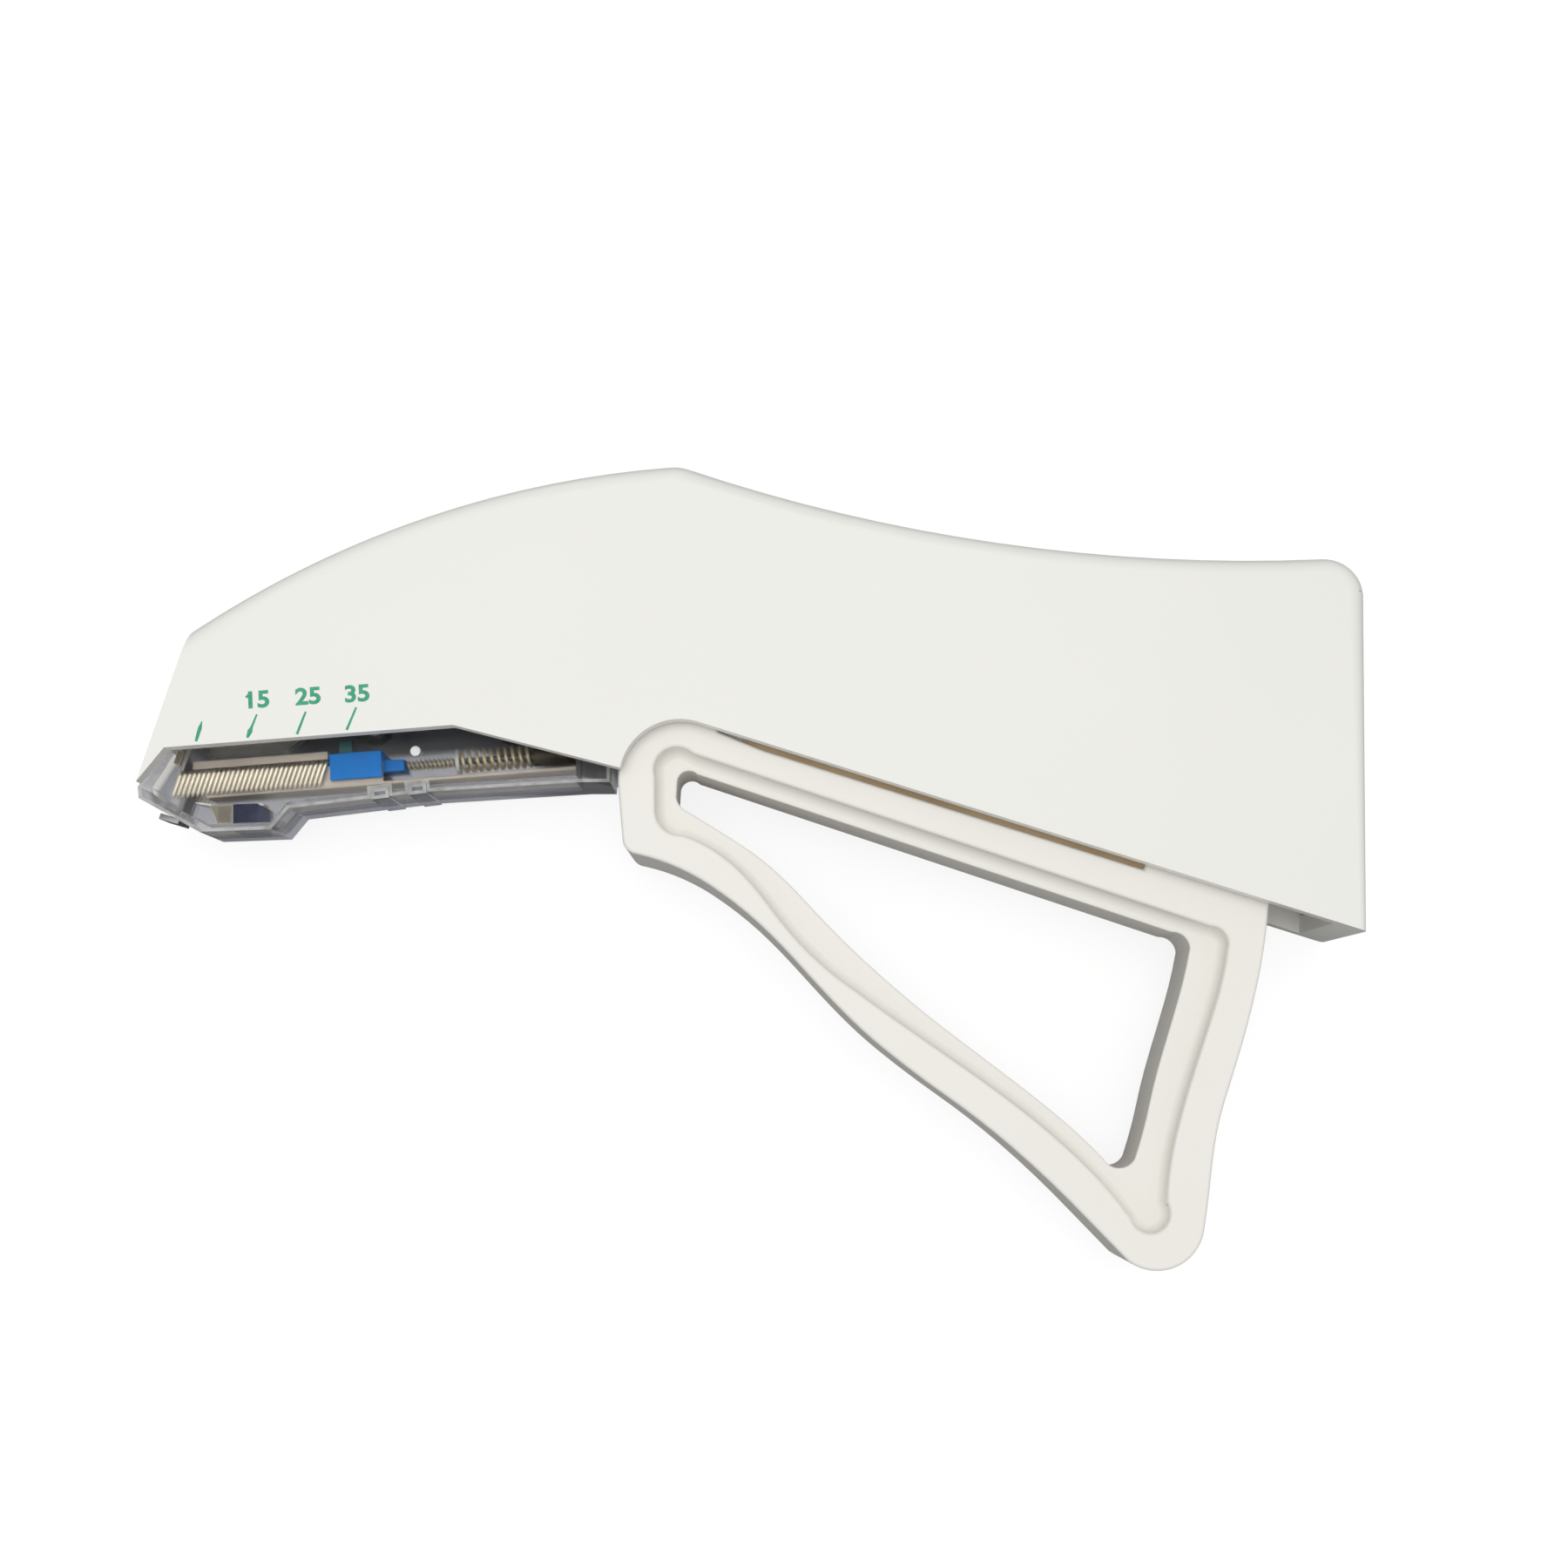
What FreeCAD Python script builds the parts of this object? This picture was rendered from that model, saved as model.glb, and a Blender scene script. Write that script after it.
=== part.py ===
import FreeCAD
import Part
import math
import os

# Skin stapler, millimetres, lying on its right side.
# Origin: trigger pivot axis on the right face. +X to the handle's heel, +Y to the hump, +Z to the left side.

# Housing outline, measured from the trigger pivot
brow_ahead = 56.1          # front top corner
brow_height = 4.8
crest_behind = 0.7         # peak of the hump
crest_height = 24.8
crest_radius = 112.7       # long rise from brow to hump
saddle_radius = 201.2      # palm hollow behind the hump
tail_behind = 81.2         # top rear corner
tail_height = 13.8
heel_behind = 79.24        # bottom rear corner
heel_height = -30.4
lower_edge_front = (4.96, -6.8)
arch_centre = (1.0, -12.9)
arch_radius = 7.0
bend_place = (-25.2, -6.6)     # lower front edge turns here
collar_place = (-58.4, -9.24)  # front end of the edge over the cartridge
lip_place = (-61.42, -13.2)
front_corner_drop = 11.6       # where the arch meets the lower front edge

body_width = 19.0
wall = 2.0
palm_round = 2.1           # rounding of the top edges
crest_corner_round = 5.0
tail_corner_round = 4.5
rear_round = 0.8           # rounding of the rear edges, below the tail corner

mouth_over = 0.9           # the opening for the trigger is cut this far above the lower wall
lintel_lift = 0.8          # the opening over the cartridge starts this far above the collar
fin_room = 1.3             # behind the trigger's fin
clear_reach = 10.0         # cutters run this far past the outside

# Trigger
trigger_width = 14.0
trigger_gap = 0.5          # under the housing's lower edge
trigger_recess = 2.7       # depth of the recess on each side
gap_length = 52.2          # the gap shows this far along the lower edge
gap_taper = 6.0            # it opens to its full width over this run
tongue_width = 11.0        # thin ridge on the trigger that closes the gap from inside
tongue_height = 3.2
cheek_span = 12.0          # over the two cheeks that carry the pins
cheek_slot = 4.6           # between them
cheek_floor = -4.5         # bottom of the slot, the spring lies in it
head_radius = 6.0
horn_radius = 3.6
fin_radius = 74.0          # rear edge of the fin that runs inside the housing
fin_angles = (-21.6, -18.0, -14.5)     # its low end, middle and top, seen from the pivot
fin_step = 5.7             # front edge of the fin above the gap
trigger_pin_radius = 2.0
drive_pin_radius = 1.5
drive_pin_place = (15.0, 5.0)
running_gap = 0.05         # radial, pin in hole
slot_gap = 0.15            # pin in a slot
side_gap = 0.2             # between faces that slide past each other

# Rocker and former
rocker_place = (-8.0, 13.5)
rocker_pin_radius = 1.7
rocker_thickness = 3.6
rocker_hub_radius = 4.8
rocker_tail_radius = 3.6
rocker_tip_radius = 2.4
rocker_hub_rim = 2.0       # left around the arm's pockets
rocker_tip_rim = 2.5
rocker_web_thickness = 1.6
former_pin_radius = 1.4
trigger_sweep = 12.5       # degrees of the full squeeze
rocker_ratio = 0.65        # rocker's turn for each degree of the trigger
slot_overrun = 0.15        # at each end of a slot
former_thickness = 0.5
former_width = 6.6
former_gap = 0.25          # behind the front wall
bracket_sheet = 1.2
bracket_span = 6.4
bracket_depth = 10.6
bracket_jaw = 1.0
bracket_set = 5.5          # former pin behind the former's front face
bracket_drop = 3.2         # former pin below the brow
front_rib_top = 0.6        # ribs on the housing walls that guide the bracket
front_rib_end = 5.5        # above the waiting crown
front_rib_depth = 1.4
rear_rib = 1.2
rear_rib_rise = 2.0

# Staples and their track
staple_wire = 0.5
staple_width = 6.6
staple_leg = 3.4
staple_pitch = 0.573       # along the track
stacked_staples = 30
track_angle = 4.56
crown_fall = 15.774        # from the brow down the firing path to the waiting staple's crown
track_gap = 0.05

# Cartridge
cartridge_width = 10.0
cartridge_wall = 1.5
cartridge_skin = 1.0
nose_top = (-59.86, -8.58)
nose_tip_upper = (-62.7, -13.13)
nose_tip_lower = (-62.53, -14.47)
foot_front = (-55.22, -18.48)
foot_back = (-46.89, -18.17)
foot_rise = (-44.95, -15.71)
belly_place = (-28.9, -13.75)
tail_low = (-10.5, -12.6)
tail_end = (-7.4, -12.6)
tail_high = (-7.4, -8.6)
flange_top = -2.2
flange_front = -41.0
flange_rear = -15.0
flange_boss_radius = 2.2
flange_pin_radius = 1.0
flange_pins = [(-37.0, -4.6), (-20.0, -4.6)]
exit_slot = 1.9
clip_length = 2.1
clip_height = 1.1
clip_proud = 0.15
clip_runs = [10.8, 15.2]       # along the belly, behind the foot
lock_pin_place = (-30.3, -8.9)
lock_pin_radius = 0.6

# Track metal, pusher and spring
rail_width = 5.1
rail_sheet = 0.4
rail_depth = 2.7
anvil_width = 4.2
anvil_sheet = 0.7
cover_width = 5.2
cover_sheet = 0.35
cover_flange = 0.95
cover_gap = 0.15
pusher_length = 6.1
pusher_height = 3.1
pusher_width = 6.6
pusher_tail_length = 2.4
flag_size = (1.6, 1.5)
flag_thickness = 0.6
closed_coil_length = 6.0
closed_coil_radius = 0.56
closed_coil_wire = 0.26
closed_coil_pitch = 0.5
washer_thickness = 0.45
washer_radius = 1.5
axis_depth = 0.95          # spring and rod axis below the crown tops
rod_radius = 0.38
spring_radius = 1.2
spring_wire = 0.42
spring_pitch = 0.86
seat_length = 5.2
seat_radius = 1.35
foot_block_length = 5.4
foot_block_height = 2.3
foot_pad_length = 1.9
seat_gap = 0.04            # under parts that lie on a wall
ejector_sheet = 0.25
ejector_width = 2.4
guide_block_depth = 0.8
guide_block_rise = 2.2     # above the waiting crown
firing_gap = 0.1           # between the sliding former and its guides

# Trigger return spring
coil_radius = 3.3
coil_wire = 0.8
coil_turns = 4
coil_leg = 9.5
coil_stop_radius = 0.8

# Springs are drawn as short straight runs
torsion_runs = 14          # for each turn
spring_runs = 12
small_spring_runs = 8
wire_corners = 5

# Posts that join the two housing halves
post_radius = 2.2
post_pin_radius = 1.2      # six-sided peg and socket
post_pin_length = 3.0
post_socket_depth = 3.4
post_places = [(-30.0, 13.4), (28.0, 9.0), (52.0, 6.5), (74.0, 6.5)]

curve_fit = 0.04           # free curves are made of arcs that stay this close to them
boss_sides = 12            # hidden bosses and posts
same_place = 0.01
mid = body_width / 2


def vector(place, z=0.0):
    return FreeCAD.Vector(place[0], place[1], z)


def profile(start, *steps):
    """Closed flat face; a step is a point, ("arc", middle, end) or ("curve", points...)."""
    edges = []
    here = start
    for step in steps + (start,):
        if step[0] == "arc":
            edges.append(Part.Arc(vector(here), vector(step[1]), vector(step[2])).toShape())
            here = step[2]
        elif step[0] == "curve":
            spline = Part.BSplineCurve()
            spline.interpolate([vector(here)] + [vector(place) for place in step[1:]])
            edges.extend(arc.toShape() for arc in spline.toBiArcs(curve_fit))
            here = step[-1]
        elif math.dist(here, step) > 1e-6:
            edges.append(Part.LineSegment(vector(here), vector(step)).toShape())
            here = step
    return Part.Face(Part.Wire(edges))


def plate(face, low, high):
    solid = face.extrude(FreeCAD.Vector(0, 0, high - low))
    solid.translate(FreeCAD.Vector(0, 0, low))
    return solid


def centred(face, width):
    return plate(face, mid - width / 2, mid + width / 2)


def boss(place, radius, low, high, sides=boss_sides):
    corners = [turned((place[0] + radius, place[1]), place, 360 / sides * count) for count in range(sides)]
    return plate(profile(*corners), low, high)


def disc(place, radius, low, high):
    return Part.makeCylinder(radius, high - low, vector(place, low))


def centred_disc(place, radius, width):
    return disc(place, radius, mid - width / 2, mid + width / 2)


def link_face(first, first_radius, second, second_radius):
    """Outline of a link: two round ends joined by their outer tangents."""
    run = math.dist(first, second)
    heading = math.atan2(second[1] - first[1], second[0] - first[0])
    lean = math.acos((first_radius - second_radius) / run)

    def rim(centre, radius, angle):
        return (centre[0] + radius * math.cos(angle), centre[1] + radius * math.sin(angle))

    return profile(rim(first, first_radius, heading + lean),
                   ("arc", rim(first, first_radius, heading + math.pi),
                    rim(first, first_radius, heading - lean)),
                   rim(second, second_radius, heading - lean),
                   ("arc", rim(second, second_radius, heading),
                    rim(second, second_radius, heading + lean)))


def offset(place, run, direction):
    return (place[0] + run * direction[0], place[1] + run * direction[1])


def fused(shapes):
    return shapes[0].multiFuse(shapes[1:]).removeSplitter()


def unit(start, end):
    length = math.dist(start, end)
    return ((end[0] - start[0]) / length, (end[1] - start[1]) / length)


# Directions of the firing path: down runs along the front wall, back points to the handle
brow = (-brow_ahead, brow_height)
crest = (crest_behind, crest_height)
tail = (tail_behind, tail_height)
heel = (heel_behind, heel_height)
down = unit(brow, lip_place)
back = (-down[1], down[0])
former_start = offset(brow, wall + former_gap, back)
track_way = (math.cos(math.radians(track_angle)), math.sin(math.radians(track_angle)))
track_up = (-track_way[1], track_way[0])


def firing(run, behind):
    """Place at a run down the firing path and a distance behind the former's front face."""
    return offset(offset(former_start, run, down), behind, back)


def turned(place, centre, degrees):
    turn = math.radians(degrees)
    x = place[0] - centre[0]
    y = place[1] - centre[1]
    return (centre[0] + x * math.cos(turn) - y * math.sin(turn),
            centre[1] + x * math.sin(turn) + y * math.cos(turn))


crown_place = firing(crown_fall, former_thickness / 2)
former_pin_place = firing(bracket_drop, bracket_set)
rocker_sweep = trigger_sweep * rocker_ratio
lifted_drive_pin = turned(drive_pin_place, (0.0, 0.0), trigger_sweep)
drive_slot_end = turned(lifted_drive_pin, rocker_place, -rocker_sweep)
lowered_former_pin = turned(former_pin_place, rocker_place, rocker_sweep)
tip_travel = (lowered_former_pin[0] - former_pin_place[0], lowered_former_pin[1] - former_pin_place[1])
former_stroke = tip_travel[0] * down[0] + tip_travel[1] * down[1]
bracket_slip = tip_travel[0] * back[0] + tip_travel[1] * back[1]


def track(run, above):
    """Place along the track, behind the waiting staple, and above the crown tops."""
    return offset(offset(crown_place, run, track_way), above, track_up)


def arc_middle(first, last, radius, side):
    """Middle of the arc of this radius between two places; side 1 bulges to the left of the run."""
    heading = unit(first, last)
    half = math.dist(first, last) / 2
    rise = radius - math.sqrt(radius * radius - half * half)
    centre = ((first[0] + last[0]) / 2, (first[1] + last[1]) / 2)
    return offset(centre, side * rise, (-heading[1], heading[0]))


def housing_outline():
    arch_front = (arch_centre[0] - math.sqrt(arch_radius ** 2 - (arch_centre[1] + front_corner_drop) ** 2),
                  -front_corner_drop)
    lower = unit(lower_edge_front, heel)
    arch_rear = offset(arch_centre, arch_radius, (-lower[1], lower[0]))
    arch_top = (arch_centre[0] - arch_radius * 0.5, arch_centre[1] + arch_radius * 0.866)
    return profile(brow,
                   ("arc", arc_middle(brow, crest, crest_radius, 1), crest),
                   ("arc", arc_middle(crest, tail, saddle_radius, -1), tail),
                   heel,
                   arch_rear,
                   ("arc", arch_top, arch_front),
                   bend_place,
                   collar_place,
                   lip_place)


def upright_edges(solid, place):
    return [edge for edge in solid.Edges
            if len(edge.Vertexes) == 2
            and all(math.dist((v.X, v.Y), place) < same_place for v in edge.Vertexes)]


def rear_rim():
    """Strip of the rear wall whose side edges are rounded less than the palm."""
    start = offset(tail, tail_corner_round, unit(tail, heel))
    inside = offset(heel, 2 * palm_round, unit(heel, lower_edge_front))
    strip = plate(profile(start, heel, inside, (inside[0], start[1])), 0, body_width)
    rims = [edge for edge in strip.Edges
            if edge.Vertexes[0].Z == edge.Vertexes[-1].Z
            and all(min(math.dist((v.X, v.Y), start), math.dist((v.X, v.Y), heel)) < same_place
                    for v in edge.Vertexes)]
    return strip.makeFillet(rear_round, rims)


def housing_blank():
    """Solid outer form of the closed housing, with its rounded palm and heel edges."""
    blank = plate(housing_outline(), 0, body_width)
    blank = blank.makeFillet(crest_corner_round, upright_edges(blank, crest))
    blank = blank.makeFillet(tail_corner_round, upright_edges(blank, tail))
    rims = []
    for edge in blank.Edges:
        middle = edge.valueAt((edge.FirstParameter + edge.LastParameter) / 2)
        on_side = min(middle.z, body_width - middle.z) < same_place
        on_top = middle.y > tail_height - tail_corner_round
        if on_side and on_top:
            rims.append(edge)
    return blank.makeFillet(palm_round, rims).fuse(rear_rim()).removeSplitter()


def housing_cavity():
    """Room inside the walls, open below for the cartridge and for the trigger's swing."""
    inside = housing_outline().makeOffset2D(-wall)
    low = wall
    high = body_width - wall
    room = plate(inside, low, high)
    lower = unit(lower_edge_front, heel)
    upward = (-lower[1], lower[0])
    over = wall + mouth_over
    front_reach = lip_place[0] - clear_reach
    mouth_depth = heel_height - clear_reach
    mouth_rear = fin_radius + fin_room
    line_rear = offset(lower_edge_front, (mouth_rear - lower_edge_front[0]) / lower[0], lower)
    lintel = collar_place[1] + lintel_lift
    behind = wall + firing_gap
    inner_run = (lintel - brow[1] - behind * back[1]) / down[1]
    mouth = profile((front_reach, lintel),
                    offset(offset(brow, inner_run, down), behind, back),
                    offset(offset(brow, inner_run - 2 * wall, down), behind, back),
                    (bend_place[0], bend_place[1] + over),
                    (arch_centre[0] - arch_radius, arch_centre[1] + arch_radius + mouth_over),
                    (arch_centre[0], arch_centre[1] + arch_radius + over),
                    offset(line_rear, over, upward),
                    (line_rear[0], mouth_depth),
                    (front_reach, mouth_depth))
    return room.fuse(plate(mouth, low, high))


def housing_halves():
    shell = housing_blank().cut(housing_cavity())
    reach = 300.0
    lower_half = Part.makeBox(reach, reach, mid, FreeCAD.Vector(-reach / 2, -reach / 2, 0))
    upper_half = Part.makeBox(reach, reach, mid, FreeCAD.Vector(-reach / 2, -reach / 2, mid))
    right = [shell.common(lower_half)]
    left = [shell.common(upper_half)]
    right_holes = []
    left_holes = []
    cheek_low = mid - cheek_span / 2 - side_gap
    rocker_low = mid - rocker_thickness / 2 - side_gap
    flange_low = mid - cartridge_width / 2
    for place, radius, low, pin in ((( 0.0, 0.0), head_radius - 2.2, cheek_low, trigger_pin_radius),
                                    (rocker_place, rocker_hub_radius - 1.4, rocker_low, rocker_pin_radius)):
        right.append(boss(place, radius, wall, low))
        left.append(boss(place, radius, body_width - low, body_width - wall))
        right_holes.append(disc(place, pin, wall / 2, low))
        left_holes.append(disc(place, pin, body_width - low, body_width - wall / 2))
    for place in flange_pins:
        tip = flange_low + cartridge_wall * 0.8
        right.append(boss(place, flange_boss_radius, wall, flange_low))
        right.append(disc(place, flange_pin_radius, flange_low, tip))
        left.append(boss(place, flange_boss_radius, body_width - flange_low, body_width - wall))
        left.append(disc(place, flange_pin_radius, body_width - tip, body_width - flange_low))
    for place in post_places:
        right.append(boss(place, post_radius, wall, mid))
        left.append(boss(place, post_radius, mid, body_width - wall))
        left.append(boss(place, post_pin_radius, mid - post_pin_length, mid, 6))
        right_holes.append(boss(place, post_pin_radius, mid - post_socket_depth, mid, 6))
    # rails beside the firing path keep the former bracket straight
    for guide in former_guides():
        right.append(plate(guide, wall, mid - bracket_span / 2 - side_gap))
        left.append(plate(guide, mid + bracket_span / 2 + side_gap, body_width - wall))
    # the return spring's front leg rests on this peg
    stop_place = (-coil_leg, -coil_radius - coil_wire / 2 - coil_stop_radius)
    right.append(boss(stop_place, coil_stop_radius, wall, mid + coil_wire))
    right_shell = fused(right)
    for hole in right_holes:
        right_shell = right_shell.cut(hole)
    left_shell = fused(left)
    for hole in left_holes:
        left_shell = left_shell.cut(hole)
    return right_shell, left_shell


def former_guides():
    """Upright ribs on each wall, one on each side of the bracket's cheeks."""
    bottom = crown_fall - front_rib_end
    rear_top = front_rib_top - rear_rib_rise
    rear_bottom = bottom - front_rib_end
    rear = bracket_depth + side_gap
    return [profile(firing(front_rib_top, -former_gap), firing(bottom, -former_gap),
                    firing(bottom, front_rib_depth), firing(front_rib_top, front_rib_depth)),
            profile(firing(rear_top, rear), firing(rear_bottom, rear), firing(rear_bottom, rear + rear_rib),
                    firing(rear_top, rear + rear_rib))]


def trigger_faces():
    """Outer outline, recess outline and finger opening of the trigger loop."""
    lower = unit(lower_edge_front, heel)
    under = (lower[1], -lower[0])
    gap_front = offset(offset(lower_edge_front, gap_taper, lower), trigger_gap, under)
    gap_rear = offset(offset(lower_edge_front, gap_length, lower), trigger_gap, under)
    fin_places = [turned((fin_radius, 0.0), (0.0, 0.0), angle) for angle in fin_angles]
    outer = profile((-6.3, -13.1),
                    ("arc", (-4.4, -7.4), (0.4, -4.5)),
                    (4.3, -5.2),
                    offset(lower_edge_front, 0.4, lower),
                    gap_front,
                    gap_rear,
                    offset(gap_rear, fin_step, turned(lower, (0.0, 0.0), 95.0)),
                    fin_places[2],
                    ("arc", fin_places[1], fin_places[0]),
                    ("curve", (67.6, -34.3), (64.7, -44.6), (62.0, -53.0), (61.2, -57.8), (60.3, -63.3)),
                    ("arc", (57.2, -67.7), (51.6, -67.2)),
                    ("curve", (45.33, -60.77), (37.61, -53.64), (29.8, -47.7), (21.93, -41.52),
                     (9.0, -28.31), (3.96, -24.6), (-4.0, -21.3)),
                    ("arc", (-5.2, -20.7), (-5.7, -19.4)))
    recess = profile((2.4, -9.5),
                     ("arc", (-1.0, -9.2), (-2.0, -12.2)),
                     (-1.95, -16.2),
                     ("arc", (-1.0, -18.3), (1.3, -19.1)),
                     ("curve", (7.98, -23.3), (14.5, -31.2), (22.95, -38.3), (32.8, -45.2), (42.55, -52.5),
                      (52.0, -62.4)),
                     ("arc", (54.6, -64.1), (56.1, -60.7)),
                     ("curve", (57.3, -53.4), (59.6, -46.1), (62.2, -38.8), (64.0, -31.6)),
                     ("arc", (63.4, -30.2), (62.0, -29.6)))
    opening = profile((2.8, -11.55),
                      ("arc", (1.2, -11.3), (0.45, -12.5)),
                      (0.35, -14.3),
                      ("arc", (0.8, -15.3), (1.8, -16.05)),
                      ("curve", (6.0, -18.65), (11.0, -22.1), (17.0, -28.15), (23.0, -34.05), (32.8, -42.25),
                       (42.6, -49.7), (49.5, -56.0)),
                      ("arc", (51.6, -57.0), (53.1, -55.9)),
                      ("curve", (54.25, -52.2), (55.3, -48.1), (57.5, -41.2), (60.1, -32.0)),
                      ("arc", (59.6, -30.75), (58.0, -30.1)))
    return outer, recess, opening


def trigger_tongue():
    """Ridge along the top edge of the loop, inside the housing."""
    lower = unit(lower_edge_front, heel)
    upward = (-lower[1], lower[0])
    front = offset(offset(lower_edge_front, gap_taper / 2, lower), -2 * trigger_gap, upward)
    rear = offset(offset(lower_edge_front, gap_length + gap_taper / 2, lower), -2 * trigger_gap, upward)
    return profile(front, rear, offset(rear, tongue_height, upward), offset(front, tongue_height, upward))


def trigger():
    outer, recess, opening = trigger_faces()
    cheek_foot = (-0.3, -head_radius)
    cheek_rear = (head_radius / 2, -1.5 * head_radius)
    body = fused([centred(outer, trigger_width),
                  centred(trigger_tongue(), tongue_width),
                  centred(link_face((0.0, 0.0), head_radius, cheek_foot, head_radius), cheek_span),
                  centred(link_face((0.0, 0.0), head_radius, drive_pin_place, horn_radius), cheek_span),
                  centred(link_face(cheek_rear, head_radius / 2, drive_pin_place, horn_radius), cheek_span)])
    low = mid - trigger_width / 2
    high = mid + trigger_width / 2
    for bottom, top in ((low, low + trigger_recess), (high - trigger_recess, high)):
        body = body.cut(plate(recess, bottom, top))
    body = body.cut(centred(opening, body_width))
    slot_front = -2 * coil_leg
    slot_rear = 2 * drive_pin_place[0]
    slot_top = 2 * coil_leg
    slot = profile((slot_front, cheek_floor), (slot_rear, cheek_floor), (slot_rear, slot_top),
                   (slot_front, slot_top))
    body = body.cut(centred(slot, cheek_slot))
    body = body.cut(centred_disc((0.0, 0.0), trigger_pin_radius + running_gap, body_width))
    body = body.cut(centred_disc(drive_pin_place, drive_pin_radius, body_width))
    return body.removeSplitter()


def wire_solid(places, outward, radius):
    """Wire of short straight runs; outward gives, at each place, the way from the coil's axis."""
    sections = []
    for index, place in enumerate(places):
        before = places[max(index - 1, 0)]
        after = places[min(index + 1, len(places) - 1)]
        heading = (after - before).normalize()
        side = heading.cross(outward[index]).normalize()
        out = side.cross(heading).normalize()
        corners = []
        for count in range(wire_corners + 1):
            angle = 2 * math.pi * (count + 0.5) / wire_corners
            corners.append(place + out * (radius * math.cos(angle)) + side * (radius * math.sin(angle)))
        sections.append(Part.makePolygon(corners))
    return Part.makeLoft(sections, True, True)


def helix_places(radius, pitch, turns, runs, first_angle):
    """Places along a helix round +Z and the outward direction at each of them."""
    places = []
    outward = []
    count = round(turns * runs)
    for index in range(count + 1):
        angle = math.radians(first_angle) + 2 * math.pi * turns * index / count
        out = FreeCAD.Vector(math.cos(angle), math.sin(angle), 0)
        places.append(out * radius + FreeCAD.Vector(0, 0, pitch * turns * index / count))
        outward.append(out)
    return places, outward


def torsion_spring():
    """Coil on the trigger pin; the front leg rests on the housing's peg, the rear leg on the trigger."""
    pitch = coil_wire * 1.08
    places, outward = helix_places(coil_radius, pitch, coil_turns, torsion_runs, -90.0)
    below = FreeCAD.Vector(0, -1, 0)
    front_leg = places[0] + FreeCAD.Vector(-coil_leg, 0, 0)
    rear_leg = places[-1] + FreeCAD.Vector(coil_leg, 0, 0)
    spring = wire_solid([front_leg] + places + [rear_leg], [below] + outward + [below], coil_wire / 2)
    spring.translate(FreeCAD.Vector(0, 0, mid - pitch * coil_turns / 2))
    return spring


def rocker():
    """Lever under the hump: the trigger lifts its tail, its tip drives the former down."""
    tip = former_pin_place
    blank = [centred(link_face(rocker_place, rocker_hub_radius, tip, rocker_tip_radius), rocker_thickness),
             centred(link_face(rocker_place, rocker_hub_radius, drive_pin_place, rocker_tail_radius),
                     rocker_thickness)]
    lever = fused(blank)
    slot_way = unit(drive_pin_place, drive_slot_end)
    slot = link_face(offset(drive_pin_place, -slot_overrun, slot_way), drive_pin_radius + slot_gap,
                     offset(drive_slot_end, slot_overrun, slot_way), drive_pin_radius + slot_gap)
    lever = lever.cut(centred(slot, body_width))
    lever = lever.cut(centred_disc(rocker_place, rocker_pin_radius + running_gap, body_width))
    lever = lever.cut(centred_disc(tip, former_pin_radius, body_width))
    # the front arm is an I section: a pocket each side leaves a web
    near = offset(rocker_place, rocker_hub_radius + rocker_hub_rim, unit(rocker_place, tip))
    far = offset(tip, rocker_tip_radius + rocker_tip_rim, unit(tip, rocker_place))
    pocket = link_face(near, rocker_hub_radius - rocker_hub_rim, far, rocker_tip_radius / 2)
    depth = (rocker_thickness - rocker_web_thickness) / 2
    for low in (mid - rocker_thickness / 2, mid + rocker_thickness / 2 - depth):
        lever = lever.cut(plate(pocket, low, low + depth))
    return lever


def former_bracket():
    """Folded sheet: two slotted cheeks joined by the web that carries the former blade."""
    pin = former_pin_place
    half = former_pin_radius + slot_gap + bracket_jaw
    front = former_thickness
    block = profile(firing(bracket_drop - half, front), firing(bracket_drop + half, front),
                    firing(bracket_drop + half, bracket_depth), firing(bracket_drop - half, bracket_depth))
    inside = profile(firing(bracket_drop - half - 1, front + bracket_sheet),
                     firing(bracket_drop + half + 1, front + bracket_sheet),
                     firing(bracket_drop + half + 1, bracket_depth + 1),
                     firing(bracket_drop - half - 1, bracket_depth + 1))
    bracket = centred(block, bracket_span).cut(centred(inside, bracket_span - 2 * bracket_sheet))
    slot_radius = former_pin_radius + slot_gap
    slot = link_face(offset(pin, -slot_overrun, back), slot_radius,
                     offset(pin, bracket_slip + bracket_depth, back), slot_radius)
    return bracket.cut(centred(slot, body_width))


def former_blade():
    half = former_pin_radius + slot_gap + bracket_jaw
    blade = profile(firing(bracket_drop - half, 0), firing(crown_fall, 0),
                    firing(crown_fall, former_thickness), firing(bracket_drop - half, former_thickness))
    return centred(blade, former_width)


def staple(run):
    """One open staple in the track; its plane leans along the firing path."""
    top = offset(crown_place, run * staple_pitch, track_way)
    front = offset(top, -staple_wire / 2, back)
    section = profile(front, offset(front, staple_leg, down), offset(offset(front, staple_leg, down),
                      staple_wire, back), offset(front, staple_wire, back))
    below = offset(front, staple_wire, down)
    inside = profile(below, offset(below, staple_leg, down), offset(offset(below, staple_leg, down),
                     staple_wire, back), offset(below, staple_wire, back))
    return centred(section, staple_width).cut(centred(inside, staple_width - 2 * staple_wire))


def cartridge_outline():
    return profile(nose_top, nose_tip_upper, nose_tip_lower, foot_front, foot_back, foot_rise,
                   belly_place, tail_low, tail_end, tail_high, (flange_rear, flange_top),
                   (flange_front, flange_top), offset(nose_top, 12.0, track_way))


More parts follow.
